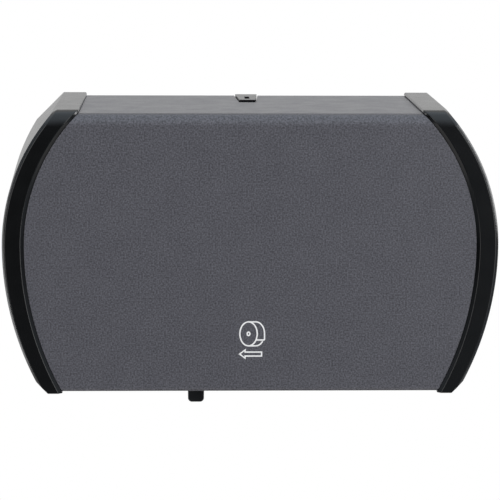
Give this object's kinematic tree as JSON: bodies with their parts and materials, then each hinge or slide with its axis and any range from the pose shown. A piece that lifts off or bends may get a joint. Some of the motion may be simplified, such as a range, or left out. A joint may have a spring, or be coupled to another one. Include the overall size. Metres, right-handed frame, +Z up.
{
  "type": "bath_tissue_dispenser",
  "caption": "Wall-mounted bath tissue dispenser for side-by-side rolls: smoke cover hinged at its foot, keyed press latch on top, sprung spindles and a sliding reserve shutter.",
  "frame": {"origin": "centre of the four wall screw holes, on the back plate's rear face, which lies on the wall", "axes": "+X to the right seen from the front, +Y into the wall, so the front faces -Y, +Z up"},
  "size_m": [0.3758, 0.1525, 0.2218],
  "materials": {
    "smoke_plastic": "smoke grey moulded cover with a fine grain",
    "cap_plastic": "smooth black moulding, half gloss",
    "black_plastic": "black moulding, satin",
    "chassis_plastic": "dark textured structural moulding",
    "shutter_plastic": "dark grey moulding, satin",
    "spindle_plastic": "light grey moulding, satin",
    "steel": "zinc plated"
  },
  "bodies": {
    "chassis": {"back_plate": "chassis_plastic", "left_hinge_pin": "steel", "right_hinge_pin": "steel", "left_roll_arm": "chassis_plastic", "right_roll_arm": "chassis_plastic", "center_roll_arm": "chassis_plastic", "arm_screws": "steel", "left_rail_bracket": "chassis_plastic", "right_rail_bracket": "chassis_plastic", "bracket_screws": "steel", "front_rail": "chassis_plastic", "rear_rail": "chassis_plastic", "left_rail_screws": "steel", "right_rail_screws": "steel", "latch_bracket": "chassis_plastic", "latch_screws": "steel", "latch_pin": "steel", "latch_spring": "steel"},
    "cover": {"front_panel": "smoke_plastic", "left_end_cap": "cap_plastic", "right_end_cap": "cap_plastic"},
    "latch": {"latch_tongue": "black_plastic"},
    "shutter": {"roll_shutter": "shutter_plastic", "shutter_tab": "black_plastic", "tab_screw": "steel"},
    "left_spindle": {"left_spindle_sleeve": "spindle_plastic", "left_spindle_spring": "steel"},
    "right_spindle": {"right_spindle_sleeve": "spindle_plastic", "right_spindle_spring": "steel"},
    "left_plunger": {"left_spindle_plunger": "spindle_plastic"},
    "right_plunger": {"right_spindle_plunger": "spindle_plastic"}
  },
  "joints": [
    {"name": "cover_hinge", "type": "hinge", "parent": "chassis", "child": "cover", "pos_m": [0, -0.014, -0.092], "axis": [1, 0, 0], "range_deg": [0, 90]},
    {"name": "latch_press", "type": "hinge", "parent": "chassis", "child": "latch", "pos_m": [0, -0.016, 0.09], "axis": [1, 0, 0], "range_deg": [0, 5], "stiffness_Nm_per_rad": 2, "springref_deg": -5.73, "deforming": ["latch_spring"]},
    {"name": "shutter_slide", "type": "slide", "parent": "chassis", "child": "shutter", "axis": [1, 0, 0], "range_m": [-0.075, 0.051]},
    {"name": "left_spindle_spin", "type": "hinge", "parent": "chassis", "child": "left_spindle", "pos_m": [0, -0.078, 0.012], "axis": [1, 0, 0], "continuous": true},
    {"name": "right_spindle_spin", "type": "hinge", "parent": "chassis", "child": "right_spindle", "pos_m": [0, -0.078, 0.012], "axis": [1, 0, 0], "continuous": true},
    {"name": "left_plunger_slide", "type": "slide", "parent": "left_spindle", "child": "left_plunger", "axis": [1, 0, 0], "range_m": [0, 0.008], "stiffness_N_per_m": 400, "springref_m": -0.004, "deforming": ["left_spindle_spring"]},
    {"name": "right_plunger_slide", "type": "slide", "parent": "right_spindle", "child": "right_plunger", "axis": [-1, 0, 0], "range_m": [0, 0.008], "stiffness_N_per_m": 400, "springref_m": -0.004, "deforming": ["right_spindle_spring"]}
  ]
}
